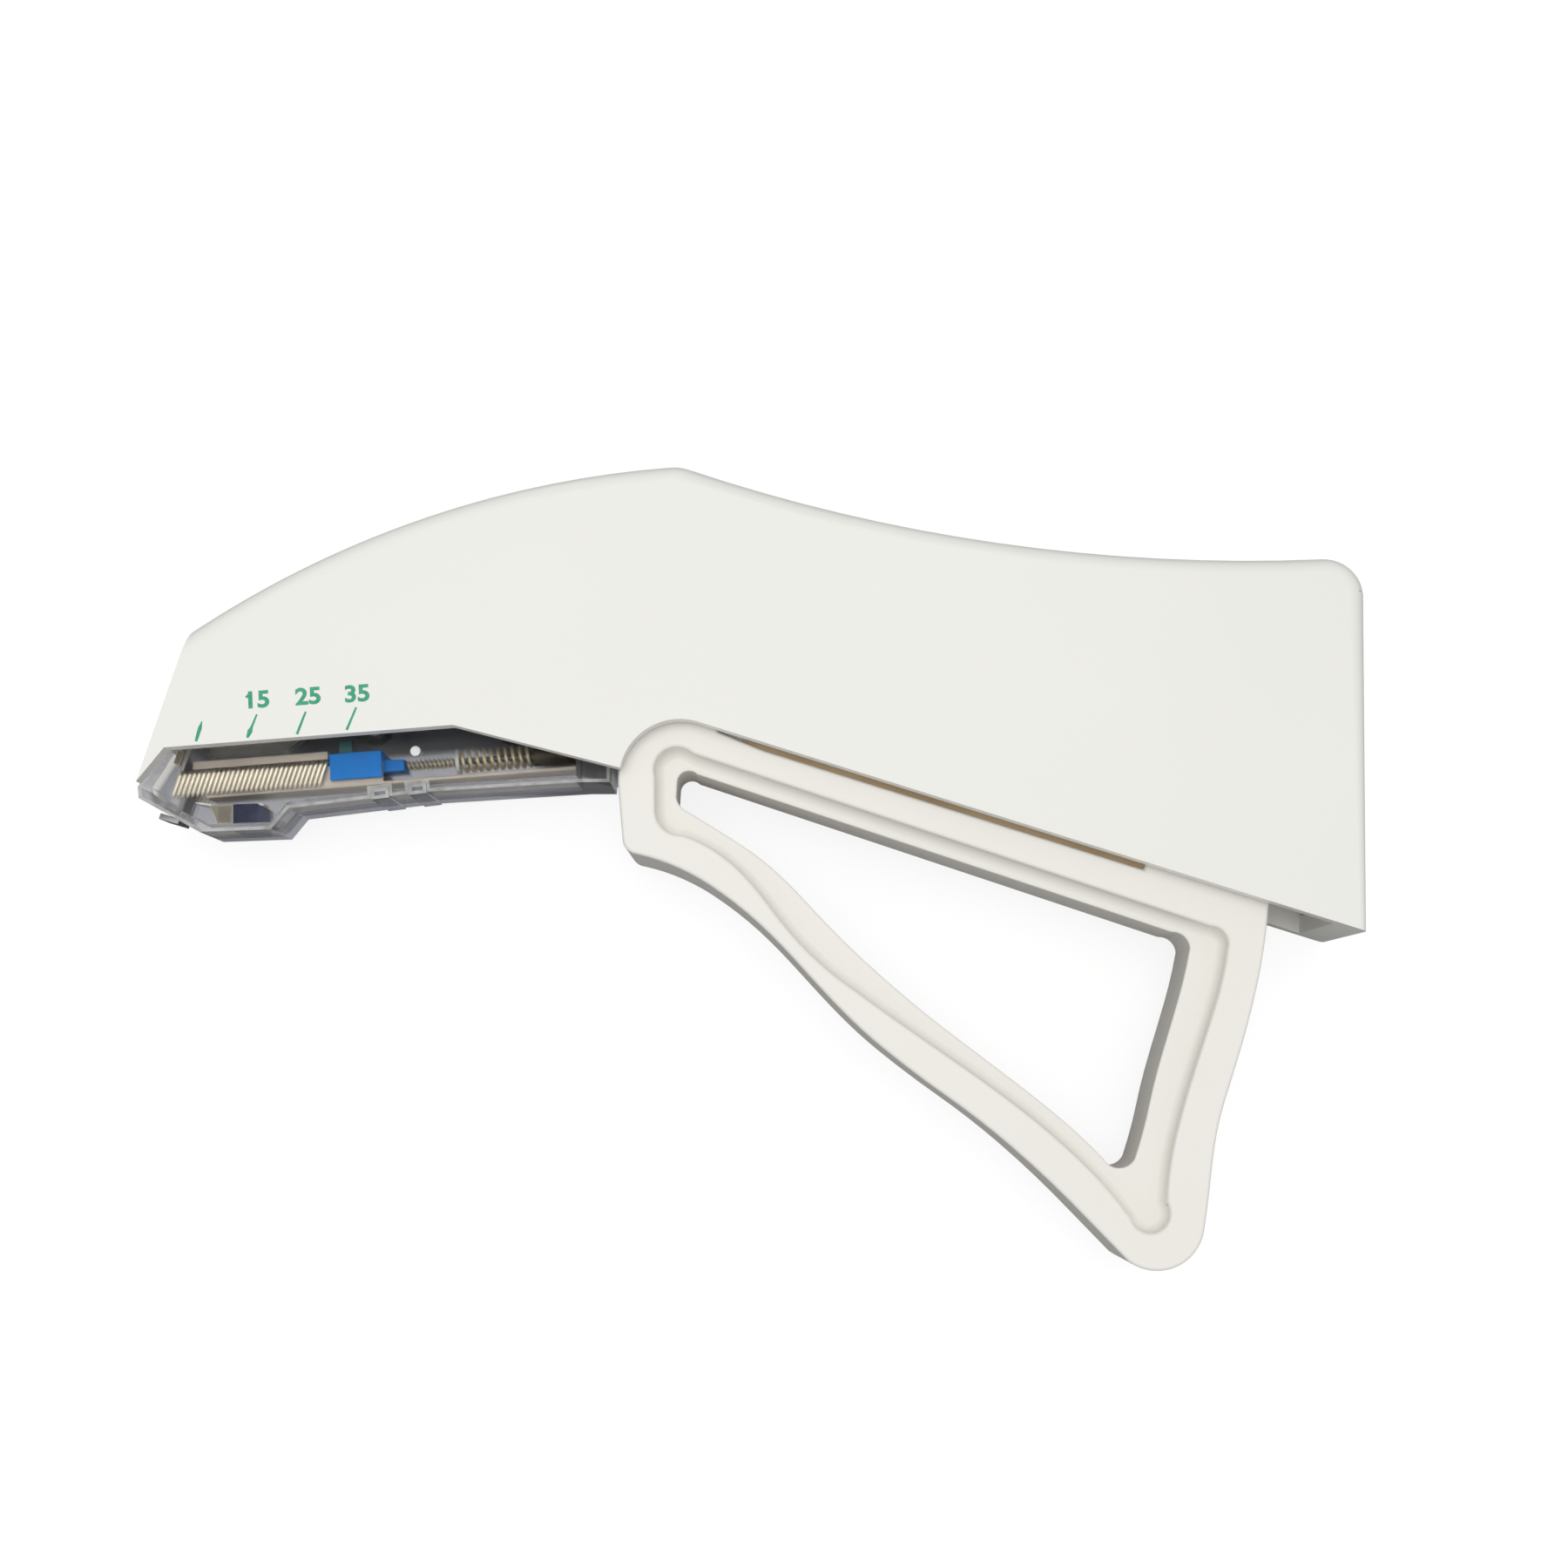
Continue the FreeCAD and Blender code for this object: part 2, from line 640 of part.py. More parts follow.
def cartridge_room():
    """Channel between the side plates, open at the top."""
    skin = cartridge_skin
    return profile((nose_top[0] + skin * 1.1, nose_top[1] + 20.0),
                   (nose_top[0] + skin * 1.1, nose_top[1]),
                   (nose_tip_upper[0] + skin * 1.2, nose_tip_upper[1]),
                   (nose_tip_lower[0] + skin * 1.3, nose_tip_lower[1] + skin * 0.6),
                   (foot_front[0] + skin * 0.2, foot_front[1] + skin),
                   (foot_back[0] - skin * 0.5, foot_back[1] + skin),
                   (foot_rise[0] - skin * 0.5, foot_rise[1] + skin),
                   (belly_place[0], belly_place[1] + skin),
                   (tail_low[0] - skin, tail_low[1] + skin),
                   (tail_low[0] - skin, nose_top[1] + 20.0))


def cartridge_halves():
    low = mid - cartridge_width / 2
    high = mid + cartridge_width / 2
    skin = centred(cartridge_outline(), cartridge_width)
    skin = skin.cut(centred(cartridge_room(), cartridge_width - 2 * cartridge_wall))
    exit_run = crown_fall + staple_leg + 0.4
    mouth = profile(firing(exit_run - 1, -0.35), firing(exit_run + 6, -0.35),
                    firing(exit_run + 6, exit_slot), firing(exit_run - 1, exit_slot))
    skin = skin.cut(centred(mouth, cartridge_width - 2 * cartridge_wall))
    for place in flange_pins:
        skin = skin.cut(disc(place, flange_pin_radius + running_gap, low - 1, high + 1))
    reach = 200.0
    right_side = Part.makeBox(reach, reach, mid, FreeCAD.Vector(-reach, -reach / 2, 0))
    left_side = Part.makeBox(reach, reach, mid, FreeCAD.Vector(-reach, -reach / 2, mid))
    right = skin.common(right_side)
    left = skin.common(left_side)
    # snap clips of the right half wrap the left half's lower edge
    belly = unit(foot_rise, belly_place)
    belly_up = (-belly[1], belly[0])
    for run in clip_runs:
        corner = offset(offset(foot_rise, run - clip_length / 2, belly), -clip_proud, belly_up)
        face = profile(corner, offset(corner, clip_length, belly),
                       offset(offset(corner, clip_length, belly), clip_height + clip_proud, belly_up),
                       offset(corner, clip_height + clip_proud, belly_up))
        clip = centred(face, cartridge_width + 2 * clip_proud)
        right = right.fuse(clip)
        left = left.cut(clip)
    left = left.cut(disc(lock_pin_place, lock_pin_radius, high - cartridge_wall - 1, high + 1))
    return right.removeSplitter(), left.removeSplitter()


def track_plate(run_start, run_end, above_low, above_high, width):
    face = profile(track(run_start, above_low), track(run_end, above_low),
                   track(run_end, above_high), track(run_start, above_high))
    return centred(face, width)


stack_end = stacked_staples * staple_pitch + staple_wire / 2 + track_gap
pusher_start = stack_end
pusher_end = pusher_start + pusher_length
closed_coil_start = pusher_end + pusher_tail_length
washer_start = closed_coil_start + closed_coil_length
spring_front = washer_start + washer_thickness
track_end = (tail_low[0] - cartridge_skin - crown_place[0]) / track_way[0] - 0.4
seat_start = track_end - seat_length


def staple_rail():
    """Channel that the staples straddle; behind them only its floor runs on."""
    front = 2.6
    top = -staple_wire - 0.15
    block = track_plate(front, pusher_end, top - rail_depth, top, rail_width)
    inside = track_plate(front - 1, pusher_end + 1, top - rail_depth + rail_sheet, top + 1,
                         rail_width - 2 * rail_sheet)
    floor = track_plate(pusher_end, track_end, top - rail_depth, top - rail_depth + rail_sheet, rail_width)
    return fused([block.cut(inside), floor])


def anvil():
    """Plate behind the exit with a toe under the crown of the staple being closed."""
    end_run = crown_fall + former_stroke + staple_wire + 0.06
    top = crown_fall + staple_wire + 0.25
    behind = former_thickness + 0.35
    face = profile(firing(top, behind), firing(end_run, behind), firing(end_run, -0.9),
                   firing(end_run + anvil_sheet, -0.9), firing(end_run + anvil_sheet, behind + anvil_sheet),
                   firing(top, behind + anvil_sheet))
    return centred(face, anvil_width)


def track_cover():
    """Steel channel over the crowns, flanges up; it starts behind the firing path."""
    front = 1.2
    rear = pusher_start - 0.3
    block = track_plate(front, rear, cover_gap, cover_gap + cover_flange, cover_width)
    inside = track_plate(front - 1, rear + 1, cover_gap + cover_sheet, cover_gap + cover_flange + 1,
                         cover_width - 2 * cover_sheet)
    return block.cut(inside)


def staple_pusher():
    """Slide behind the stack: a saddle over the rail with a tail that the spring pushes."""
    top = pusher_height / 2 - axis_depth
    block = track_plate(pusher_start, pusher_end, top - pusher_height, top, pusher_width)
    rail_room = track_plate(pusher_start - 1, pusher_end + 1, top - pusher_height - 1, -staple_wire + 0.05,
                            rail_width + 0.4)
    core = track_plate(pusher_start, pusher_end + pusher_tail_length, -1.75, -staple_wire + 0.1,
                       rail_width - 2 * rail_sheet - 0.5)
    bore = Part.makeCylinder(rod_radius + running_gap, 60.0, vector(track(-10, -axis_depth), mid),
                             vector(track_way))
    return fused([block.cut(rail_room), core]).cut(bore)


def count_flag():
    """Small flag on the pusher; it points at the printed count."""
    top = pusher_height / 2 - axis_depth
    face = profile(track(pusher_start + 1.2, top), track(pusher_start + 1.2 + flag_size[0], top),
                   track(pusher_start + 1.2 + flag_size[0], top + flag_size[1]),
                   track(pusher_start + 1.2, top + flag_size[1]))
    high = mid + pusher_width / 2
    return plate(face, high - flag_thickness, high)


def on_track(shape, run, depth):
    """Turn a shape made along +Z so that it runs along the track's axis."""
    placed = shape.copy()
    placed.rotate(FreeCAD.Vector(0, 0, 0), FreeCAD.Vector(0, 1, 0), 90)
    placed.rotate(FreeCAD.Vector(0, 0, 0), FreeCAD.Vector(0, 0, 1), track_angle)
    placed.translate(vector(track(run, -depth), mid))
    return placed


def coil(radius, wire, pitch, length, runs):
    places, outward = helix_places(radius, pitch, length / pitch, runs, 0.0)
    return wire_solid(places, outward, wire / 2)


def closed_coil():
    length = closed_coil_length - closed_coil_wire - seat_gap
    spring = coil(closed_coil_radius, closed_coil_wire, closed_coil_pitch, length, small_spring_runs)
    return on_track(spring, closed_coil_start + (closed_coil_wire + seat_gap) / 2, axis_depth)


def spring_washer():
    ring = Part.makeCylinder(washer_radius, washer_thickness)
    hole = Part.makeCylinder(rod_radius + running_gap, washer_thickness)
    return on_track(ring.cut(hole), washer_start, axis_depth)


def spring_rod():
    return Part.makeCylinder(rod_radius, seat_start + 1.0 - 3.4, vector(track(3.4, -axis_depth), mid),
                             vector(track_way))


def pusher_spring():
    length = seat_start - spring_front - spring_wire - seat_gap
    spring = coil(spring_radius, spring_wire, spring_pitch, length, spring_runs)
    return on_track(spring, spring_front + (spring_wire + seat_gap) / 2, axis_depth)


def spring_seat():
    start = vector(track(seat_start, -axis_depth), mid)
    drum = Part.makeCylinder(seat_radius, seat_length, start, vector(track_way))
    bore = Part.makeCylinder(rod_radius, 1.0, start, vector(track_way))
    return drum.cut(bore)


def foot_faces():
    """Outlines of the two blocks that fill the foot, front one first."""
    floor = unit(foot_front, foot_back)
    upright = (-floor[1], floor[0])
    start = offset(offset(foot_front, cartridge_skin + 0.6, floor), cartridge_skin + seat_gap, upright)
    seam = offset(start, foot_pad_length, floor)
    rear = offset(seam, foot_block_length - foot_pad_length - 0.6, floor)
    rise = foot_block_height
    pad = profile(offset(start, 0.3, upright), start, seam, offset(seam, rise, upright),
                  offset(offset(start, -0.9, floor), rise, upright))
    block = profile(seam, rear, offset(rear, rise, upright), offset(seam, rise, upright))
    return pad, block


def ejector_spring():
    """Leaf on top of the foot blocks; its bent tip lifts a closed staple off the anvil."""
    floor = unit(foot_front, foot_back)
    upright = (-floor[1], floor[0])
    level = cartridge_skin + foot_block_height + 2 * seat_gap
    start = offset(offset(foot_front, cartridge_skin + 0.1, floor), level, upright)
    rear = offset(start, foot_block_length, floor)
    tip = offset(offset(start, -2.6, floor), 0.5, upright)
    face = profile(start, rear, offset(rear, ejector_sheet, upright), offset(start, ejector_sheet, upright),
                   offset(tip, ejector_sheet, upright), tip)
    return centred(face, ejector_width)


def nose_guide():
    """Block in the nose that keeps the former blade against its rear face."""
    top = crown_fall - guide_block_rise
    bottom = crown_fall - staple_wire - firing_gap
    front = -firing_gap - guide_block_depth
    face = profile(firing(top, front), firing(bottom, front), firing(bottom, -firing_gap),
                   firing(top, -firing_gap))
    return centred(face, cartridge_width - 2 * cartridge_wall)


def straight_pin(place, radius, low):
    return disc(place, radius, low, body_width - low)


parts = {}
parts["housing_right"], parts["housing_left"] = housing_halves()
parts["trigger"] = trigger()
parts["trigger_pin"] = straight_pin((0.0, 0.0), trigger_pin_radius, wall / 2)
parts["trigger_spring"] = torsion_spring()
parts["drive_pin"] = straight_pin(drive_pin_place, drive_pin_radius, mid - cheek_span / 2 + 0.3)
parts["rocker"] = rocker()
parts["rocker_pin"] = straight_pin(rocker_place, rocker_pin_radius, wall / 2)
parts["former_pin"] = straight_pin(former_pin_place, former_pin_radius, mid - bracket_span / 2)
parts["former_bracket"] = former_bracket()
parts["former_blade"] = former_blade()
parts["first_staple"] = staple(0)
parts["staple_stack"] = Part.makeCompound([staple(count) for count in range(1, stacked_staples + 1)])
parts["cartridge_right"], parts["cartridge_left"] = cartridge_halves()
parts["staple_rail"] = staple_rail()
parts["anvil"] = anvil()
parts["track_cover"] = track_cover()
parts["staple_pusher"] = staple_pusher()
parts["pusher_spring"] = pusher_spring()
parts["closed_coil"] = closed_coil()
parts["spring_washer"] = spring_washer()
parts["count_flag"] = count_flag()
parts["spring_rod"] = spring_rod()
parts["spring_seat"] = spring_seat()
foot_pad_face, foot_block_face = foot_faces()
channel_width = cartridge_width - 2 * cartridge_wall
parts["foot_pad"] = centred(foot_pad_face, channel_width)
parts["foot_block"] = centred(foot_block_face, channel_width)
parts["ejector_spring"] = ejector_spring()
parts["nose_guide"] = nose_guide()
lock_pin_low = mid + channel_width / 2 + 0.1
parts["lock_pin"] = disc(lock_pin_place, lock_pin_radius, lock_pin_low, mid + cartridge_width / 2)

os.makedirs("parts", exist_ok=True)
for name, shape in parts.items():
    shape.exportStep("parts/" + name + ".step")
    print(name, "solids", len(shape.Solids), "volume", round(shape.Volume, 2), "valid", shape.isValid())
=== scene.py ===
import bpy
import bmesh
import math
from mathutils import Matrix, Vector


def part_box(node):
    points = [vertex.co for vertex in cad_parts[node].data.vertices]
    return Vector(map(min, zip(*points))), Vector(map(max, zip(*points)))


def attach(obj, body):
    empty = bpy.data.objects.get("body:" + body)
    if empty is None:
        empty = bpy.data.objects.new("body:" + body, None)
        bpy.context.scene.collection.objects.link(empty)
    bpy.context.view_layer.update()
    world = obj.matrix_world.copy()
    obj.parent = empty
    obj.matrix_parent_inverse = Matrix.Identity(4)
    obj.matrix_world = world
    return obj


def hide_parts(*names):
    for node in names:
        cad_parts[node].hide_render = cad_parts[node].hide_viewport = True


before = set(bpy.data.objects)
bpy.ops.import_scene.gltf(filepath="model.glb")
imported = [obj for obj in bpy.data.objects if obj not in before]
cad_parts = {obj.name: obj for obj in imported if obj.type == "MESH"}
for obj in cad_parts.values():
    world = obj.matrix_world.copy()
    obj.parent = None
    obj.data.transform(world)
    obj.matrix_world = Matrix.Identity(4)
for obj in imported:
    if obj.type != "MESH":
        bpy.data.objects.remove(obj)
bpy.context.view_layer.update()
mm = 0.001
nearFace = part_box("housing_left")[1].z / mm   # the side that the camera sees
midPlane = nearFace / 2   # where the two halves of the housing meet


def link(piece):
    bpy.context.scene.collection.objects.link(piece)
    return piece


def newMesh(name, bm):
    mesh = bpy.data.meshes.new(name)
    bm.to_mesh(mesh)
    bm.free()
    return link(bpy.data.objects.new(name, mesh))


def unitAt(degrees):
    turn = math.radians(degrees)
    return Vector((math.cos(turn), math.sin(turn), 0))


def middleOf(node):
    low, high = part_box(node)
    return (low + high) / 2


# The track runs from the nose to the seat of the springs; the firing path runs down and a little forward
track = {"washer": middleOf("spring_washer"), "seat": middleOf("spring_seat")}
trackWay = (track["seat"] - track["washer"]).normalized()
trackUp = Vector((-trackWay.y, trackWay.x, 0))
firing = {"lean": 16.36}
down = unitAt(-90 - firing["lean"])
back = Vector((-down.y, down.x, 0))


def socketNumber(group, name, value, low=0.0, high=1.0):
    socket = group.interface.new_socket(name=name, in_out="INPUT", socket_type="NodeSocketFloat")
    socket.default_value = value
    socket.min_value = low
    socket.max_value = high


def socketColour(group, name, value):
    socket = group.interface.new_socket(name=name, in_out="INPUT", socket_type="NodeSocketColor")
    socket.default_value = (*value, 1)


def surfaceOutputs(group):
    # what both finishes put out: colour, roughness and the height of the relief
    group.interface.new_socket(name="Color", in_out="OUTPUT", socket_type="NodeSocketColor")
    group.interface.new_socket(name="Roughness", in_out="OUTPUT", socket_type="NodeSocketFloat")
    group.interface.new_socket(name="Height", in_out="OUTPUT", socket_type="NodeSocketFloat")


def nodeIn(tree, kind, place, sockets=None, **values):
    node = tree.nodes.new(kind)
    node.location = place
    for name, value in values.items():
        setattr(node, name, value)
    for name, value in (sockets or {}).items():
        node.inputs[name].default_value = value
    return node


def join(tree, *wires):
    # each wire goes from a node's output to another node's input
    for source, output, target, socket in wires:
        tree.links.new(source.outputs[output], target.inputs[socket])


patch = {"from": 0.35, "to": 0.7, "detail": 3, "grainDetail": 4, "grainRoughness": 0.6}


def makeMouldedGroup():
    # moulded plastic: a slow drift of tone in patches, and a fine grain in the gloss
    group = bpy.data.node_groups.new("mouldedPlastic", "ShaderNodeTree")
    socketColour(group, "Tone", (0.8, 0.8, 0.8))
    socketColour(group, "Drift Tone", (0.7, 0.7, 0.7))
    socketNumber(group, "Drift", 0.3)
    socketNumber(group, "Drift Scale", 30, 0, 5000)
    socketNumber(group, "Grain Scale", 2500, 0, 20000)
    socketNumber(group, "Gloss", 0.35)
    socketNumber(group, "Gloss Spread", 0.1)
    surfaceOutputs(group)
    start = nodeIn(group, "NodeGroupInput", (-900, 0))
    end = nodeIn(group, "NodeGroupOutput", (700, 0))
    place = nodeIn(group, "ShaderNodeTexCoord", (-900, -400))
    slow = nodeIn(group, "ShaderNodeTexNoise", (-500, 200), {"Detail": patch["detail"]})
    grain = nodeIn(group, "ShaderNodeTexNoise", (-500, -200),
                   {"Detail": patch["grainDetail"], "Roughness": patch["grainRoughness"]})
    mask = nodeIn(group, "ShaderNodeMapRange", (-250, 200),
                  {"From Min": patch["from"], "From Max": patch["to"]})
    share = nodeIn(group, "ShaderNodeMath", (-50, 200), operation="MULTIPLY")
    tone = nodeIn(group, "ShaderNodeMix", (250, 200), data_type="RGBA")
    spread = nodeIn(group, "ShaderNodeMath", (0, -200), operation="MULTIPLY_ADD")
    join(group,
         (place, "Object", slow, "Vector"),
         (place, "Object", grain, "Vector"),
         (start, "Drift Scale", slow, "Scale"),
         (start, "Grain Scale", grain, "Scale"),
         (slow, "Fac", mask, "Value"),
         (mask, "Result", share, 0),
         (start, "Drift", share, 1),
         (share, "Value", tone, "Factor"),
         (start, "Tone", tone, "A"),
         (start, "Drift Tone", tone, "B"),
         (grain, "Fac", spread, 0),
         (start, "Gloss Spread", spread, 1),
         (start, "Gloss", spread, 2),
         (tone, "Result", end, "Color"),
         (spread, "Value", end, "Roughness"),
         (grain, "Fac", end, "Height"))
    return group


def makeMetalGroup():
    # sheet and wire: streaks of tone and gloss drawn out along the track
    group = bpy.data.node_groups.new("drawnMetal", "ShaderNodeTree")
    socketColour(group, "Tone", (0.6, 0.6, 0.6))
    socketColour(group, "Shade", (0.3, 0.3, 0.3))
    socketNumber(group, "Streak Scale", 900, 0, 20000)
    socketNumber(group, "Stretch", 0.08)
    socketNumber(group, "Gloss", 0.3)
    socketNumber(group, "Gloss Spread", 0.2)
    surfaceOutputs(group)
    start = nodeIn(group, "NodeGroupInput", (-1100, 0))
    end = nodeIn(group, "NodeGroupOutput", (700, 0))
    place = nodeIn(group, "ShaderNodeTexCoord", (-1100, -400))
    turn = nodeIn(group, "ShaderNodeMapping", (-900, -400),
                  {"Rotation": (0, 0, -math.atan2(trackWay.y, trackWay.x))})
    squeeze = nodeIn(group, "ShaderNodeCombineXYZ", (-900, -150), {"Y": 1, "Z": 1})
    stretch = nodeIn(group, "ShaderNodeVectorMath", (-700, -300), operation="MULTIPLY")
    streak = nodeIn(group, "ShaderNodeTexNoise", (-500, -200), {"Detail": 5})
    tone = nodeIn(group, "ShaderNodeMix", (250, 200), data_type="RGBA")
    spread = nodeIn(group, "ShaderNodeMath", (0, -200), operation="MULTIPLY_ADD")
    join(group,
         (place, "Object", turn, "Vector"),
         (start, "Stretch", squeeze, "X"),
         (turn, "Vector", stretch, 0),
         (squeeze, "Vector", stretch, 1),
         (stretch, "Vector", streak, "Vector"),
         (start, "Streak Scale", streak, "Scale"),
         (streak, "Fac", tone, "Factor"),
         (start, "Tone", tone, "A"),
         (start, "Shade", tone, "B"),
         (streak, "Fac", spread, 0),
         (start, "Gloss Spread", spread, 1),
         (start, "Gloss", spread, 2),
         (tone, "Result", end, "Color"),
         (spread, "Value", end, "Roughness"),
         (streak, "Fac", end, "Height"))
    return group


def makeMaterial(name, group, values, relief, depth, **shader):
    # values go to the group's sockets, shader to the Principled BSDF, relief and depth in mm to the bump
    material = bpy.data.materials.new(name)
    material.use_nodes = True
    tree = material.node_tree
    tree.nodes.clear()
    out = nodeIn(tree, "ShaderNodeOutputMaterial", (500, 0))
    skin = nodeIn(tree, "ShaderNodeBsdfPrincipled", (200, 0), shader)
    maker = nodeIn(tree, "ShaderNodeGroup", (-400, 0), node_tree=group)
    bump = nodeIn(tree, "ShaderNodeBump", (-50, -250), {"Strength": relief, "Distance": depth * mm})
    for socket, value in values.items():
        maker.inputs[socket].default_value = (*value, 1) if isinstance(value, tuple) else value
    join(tree,
         (maker, "Color", skin, "Base Color"),
         (maker, "Roughness", skin, "Roughness"),
         (maker, "Height", bump, "Height"),
         (bump, "Normal", skin, "Normal"),
         (skin, "BSDF", out, "Surface"))
    return material


moulded = makeMouldedGroup()
drawn = makeMetalGroup()
whitePlastic = makeMaterial("housingWhite", moulded, {
    "Tone": (0.85, 0.845, 0.805), "Drift Tone": (0.82, 0.815, 0.775), "Drift": 0.5, "Drift Scale": 25,
    "Grain Scale": 3000, "Gloss": 0.36, "Gloss Spread": 0.12}, relief=0.12, depth=0.01)
triggerPlastic = makeMaterial("triggerWhite", moulded, {
    "Tone": (0.855, 0.835, 0.785), "Drift Tone": (0.825, 0.805, 0.745), "Drift": 0.5, "Drift Scale": 25,
    "Grain Scale": 3000, "Gloss": 0.38, "Gloss Spread": 0.12}, relief=0.12, depth=0.01)
# painted shade: the brown of the white tongue where it lies in shade inside the gap, with darker patches at
# random
tongueShadePaint = makeMaterial("tongueShade", moulded, {
    "Tone": (0.95, 0.74, 0.48), "Drift Tone": (0.62, 0.42, 0.20), "Drift": 0.8, "Drift Scale": 60,
    "Grain Scale": 3000, "Gloss": 0.45, "Gloss Spread": 0.12}, relief=0.12, depth=0.01)
clearPlastic = makeMaterial("clearPlastic", moulded, {
    "Tone": (0.78, 0.76, 0.72), "Drift Tone": (0.68, 0.66, 0.62), "Drift": 0.4, "Drift Scale": 120,
    "Grain Scale": 900, "Gloss": 0.02, "Gloss Spread": 0.04}, relief=0.04, depth=0.01,
    **{"Transmission Weight": 1.0, "IOR": 1.2})
smokePlastic = makeMaterial("smokePlastic", moulded, {
    "Tone": (0.34, 0.35, 0.39), "Drift Tone": (0.22, 0.24, 0.30), "Drift": 0.8, "Drift Scale": 150,
    "Grain Scale": 900, "Gloss": 0.04, "Gloss Spread": 0.06}, relief=0.05, depth=0.01,
    **{"Transmission Weight": 0.85, "IOR": 1.2})
# painted highlight: a pale, more opaque band along the clear halves' outlines and rounded edges, broken by
# darker patches at random
edgeHighlightPaint = makeMaterial("edgeHighlightPaint", moulded, {
    "Tone": (0.74, 0.74, 0.70), "Drift Tone": (0.34, 0.34, 0.33), "Drift": 0.8, "Drift Scale": 700,
    "Grain Scale": 3000, "Gloss": 0.2, "Gloss Spread": 0.1}, relief=0.1, depth=0.01,
    **{"Transmission Weight": 0.4, "IOR": 1.3, "Alpha": 0.75})
bluePlastic = makeMaterial("bluePlastic", moulded, {
    "Tone": (0.0, 0.25, 0.84), "Drift Tone": (0.0, 0.18, 0.68), "Drift": 0.6, "Drift Scale": 200,
    "Grain Scale": 4000, "Gloss": 0.45, "Gloss Spread": 0.15}, relief=0.1, depth=0.01,
    **{"Specular IOR Level": 0.15})
navyPlastic = makeMaterial("navyPlastic", moulded, {
    "Tone": (0.03, 0.05, 0.16), "Drift Tone": (0.02, 0.03, 0.10), "Drift": 0.6, "Drift Scale": 300,
    "Grain Scale": 4000, "Gloss": 0.35, "Gloss Spread": 0.15}, relief=0.1, depth=0.01)
tealPlastic = makeMaterial("tealPlastic", moulded, {
    "Tone": (0.02, 0.13, 0.14), "Drift Tone": (0.01, 0.08, 0.09), "Drift": 0.6, "Drift Scale": 300,
    "Grain Scale": 4000, "Gloss": 0.35, "Gloss Spread": 0.15}, relief=0.1, depth=0.01)
creamPlastic = makeMaterial("creamPlastic", moulded, {
    "Tone": (0.62, 0.58, 0.48), "Drift Tone": (0.52, 0.48, 0.38), "Drift": 0.6, "Drift Scale": 300,
    "Grain Scale": 4000, "Gloss": 0.4, "Gloss Spread": 0.15}, relief=0.1, depth=0.01)
darkPlastic = makeMaterial("darkPlastic", moulded, {
    "Tone": (0.05, 0.04, 0.03), "Drift Tone": (0.11, 0.08, 0.04), "Drift": 0.7, "Drift Scale": 500,
    "Grain Scale": 4000, "Gloss": 0.35, "Gloss Spread": 0.15}, relief=0.1, depth=0.01)
trimPlastic = makeMaterial("trimWhite", moulded, {
    "Tone": (0.86, 0.86, 0.84), "Drift Tone": (0.80, 0.80, 0.78), "Drift": 0.5, "Drift Scale": 300,
    "Grain Scale": 4000, "Gloss": 0.35, "Gloss Spread": 0.1}, relief=0.1, depth=0.01)
printInk = makeMaterial("printInk", moulded, {
    "Tone": (0.02, 0.32, 0.16), "Drift Tone": (0.06, 0.42, 0.24), "Drift": 0.7, "Drift Scale": 1500,
    "Grain Scale": 6000, "Gloss": 0.45, "Gloss Spread": 0.1}, relief=0.1, depth=0.005)
sheetSteel = makeMaterial("sheetSteel", drawn, {
    "Tone": (0.32, 0.31, 0.30), "Shade": (0.10, 0.10, 0.10), "Gloss": 0.25, "Gloss Spread": 0.25},
    relief=0.2, depth=0.01, Metallic=1.0)
coverSteel = makeMaterial("coverSteel", drawn, {
    "Tone": (0.62, 0.56, 0.49), "Shade": (0.40, 0.36, 0.31), "Gloss": 0.3, "Gloss Spread": 0.25},
    relief=0.2, depth=0.01, Metallic=0.35)
pinSteel = makeMaterial("pinSteel", drawn, {
    "Tone": (0.55, 0.54, 0.52), "Shade": (0.38, 0.37, 0.36), "Gloss": 0.2, "Gloss Spread": 0.2},
    relief=0.1, depth=0.01, Metallic=1.0)
stapleSteel = makeMaterial("stapleSteel", drawn, {
    "Tone": (0.95, 0.91, 0.80), "Shade": (0.80, 0.74, 0.62), "Gloss": 0.25, "Gloss Spread": 0.15},
    relief=0.05, depth=0.005, Metallic=1.0)
springSteel = makeMaterial("springSteel", drawn, {
    "Tone": (0.95, 0.86, 0.62), "Shade": (0.80, 0.68, 0.44), "Gloss": 0.3, "Gloss Spread": 0.15},
    relief=0.05, depth=0.005, Metallic=0.55)


def thinByFacing(material, facing, grazing):
    # thin clear wall: partly open where it faces the eye, full strength along its edges
    tree = material.node_tree
    slant = nodeIn(tree, "ShaderNodeLayerWeight", (-400, 300), {"Blend": 0.45})
    cover = nodeIn(tree, "ShaderNodeMapRange", (-150, 300), {"To Min": facing, "To Max": grazing})
    join(tree,
         (slant, "Facing", cover, "Value"),
         (cover, "Result", tree.nodes["Principled BSDF"], "Alpha"))


thinByFacing(clearPlastic, facing=0.4, grazing=1.0)
thinByFacing(smokePlastic, facing=0.7, grazing=1.0)
print("materials ready")

mend = {"weld": 0.002, "flat": 0.6, "sharp": 32}   # mm and degrees, for the copies of the frame's meshes


